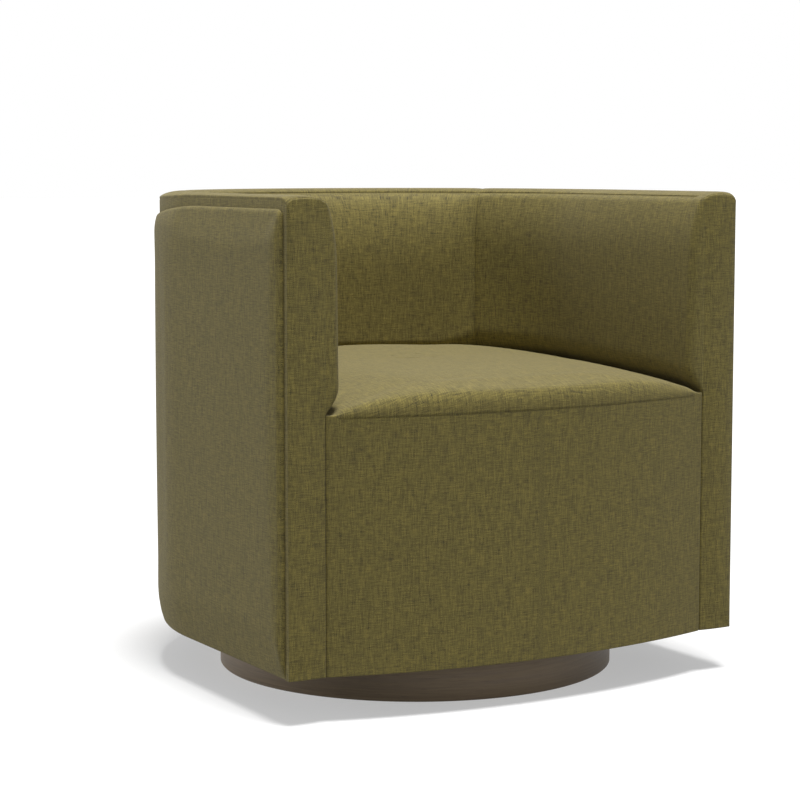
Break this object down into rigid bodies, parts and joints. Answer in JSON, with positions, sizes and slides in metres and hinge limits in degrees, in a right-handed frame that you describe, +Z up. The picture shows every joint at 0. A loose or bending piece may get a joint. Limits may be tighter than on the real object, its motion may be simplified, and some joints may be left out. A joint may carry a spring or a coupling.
{
  "type": "swivel barrel chair",
  "caption": "Round-backed upholstered lounge chair with a tight seat and a padded wrap panel, which turns on a low round wooden plinth.",
  "frame": {"origin": "on the floor, below the middle of the chair's overall plan at rest", "axes": "+Z up; the sitter faces -Y; +X to the right as seen from in front of the chair"},
  "size_m": [0.762, 0.7639, 0.716],
  "materials": {
    "upholstery_cloth": "woven olive cloth, matte, with a slub weave",
    "stained_wood": "dark grey-brown stain, satin, grain along the rim",
    "plywood": "unfinished plywood",
    "frame_timber": "unfinished hardwood",
    "hardboard": "unfinished bent board",
    "foam": "open-cell foam with a wadding wrap",
    "webbing": "woven elastic webbing",
    "dust_cloth": "thin black lining cloth",
    "plate_steel": "pressed sheet, clear zinc",
    "zinc_plated_steel": "bright zinc",
    "ball_steel": "polished bearing steel",
    "bearing_nylon": "natural nylon",
    "glide_nylon": "black moulded nylon"
  },
  "bodies": {
    "base": {"plinth_rim": "stained_wood", "plinth_board": "plywood", "glue_blocks": "frame_timber", "floor_glides": "glide_nylon", "lower_swivel_plate": "plate_steel", "lower_plate_screws": "zinc_plated_steel", "pivot_bolt": "zinc_plated_steel", "pivot_washer": "zinc_plated_steel", "pivot_nut": "zinc_plated_steel"},
    "ball_cage": {"bearing_cage": "bearing_nylon", "bearing_balls": "ball_steel"},
    "seat": {"upper_swivel_plate": "plate_steel", "upper_plate_bolts": "zinc_plated_steel", "tee_nuts": "zinc_plated_steel", "pivot_bush": "bearing_nylon", "deck_board": "plywood", "seat_frame": "frame_timber", "mid_rib": "frame_timber", "top_rib": "frame_timber", "left_arm_post": "frame_timber", "right_arm_post": "frame_timber", "lower_studs": "frame_timber", "middle_studs": "frame_timber", "upper_studs": "frame_timber", "front_board": "plywood", "left_arm_board": "plywood", "right_arm_board": "plywood", "outer_liner": "hardboard", "inner_liner": "hardboard", "lengthwise_webbing": "webbing", "crosswise_webbing": "webbing", "dust_cover": "dust_cloth", "seat_foam_base": "foam", "seat_foam_crown": "foam", "seat_cover": "upholstery_cloth", "front_panel_foam": "foam", "front_panel_cover": "upholstery_cloth", "left_inside_foam": "foam", "right_inside_foam": "foam", "back_inside_foam": "foam", "left_inside_cover": "upholstery_cloth", "right_inside_cover": "upholstery_cloth", "back_inside_cover": "upholstery_cloth", "left_top_foam": "foam", "right_top_foam": "foam", "back_top_foam": "foam", "left_top_cover": "upholstery_cloth", "right_top_cover": "upholstery_cloth", "back_top_cover": "upholstery_cloth", "left_arm_pad": "foam", "right_arm_pad": "foam", "left_arm_facing": "upholstery_cloth", "right_arm_facing": "upholstery_cloth", "outside_padding": "foam", "outside_cover": "upholstery_cloth", "wrap_pad": "foam", "wrap_cover": "upholstery_cloth"}
  },
  "joints": [
    {"name": "seat_swivel", "type": "hinge", "parent": "base", "child": "seat", "pos_m": [0, -0.03, 0.06], "axis": [0, 0, 1], "continuous": true},
    {"name": "cage_orbit", "type": "hinge", "parent": "base", "child": "ball_cage", "pos_m": [0, -0.03, 0.06], "axis": [0, 0, 1], "continuous": true}
  ],
  "couplings": [
    {"joint": "cage_orbit", "follows": "seat_swivel", "ratio": 0.5}
  ]
}
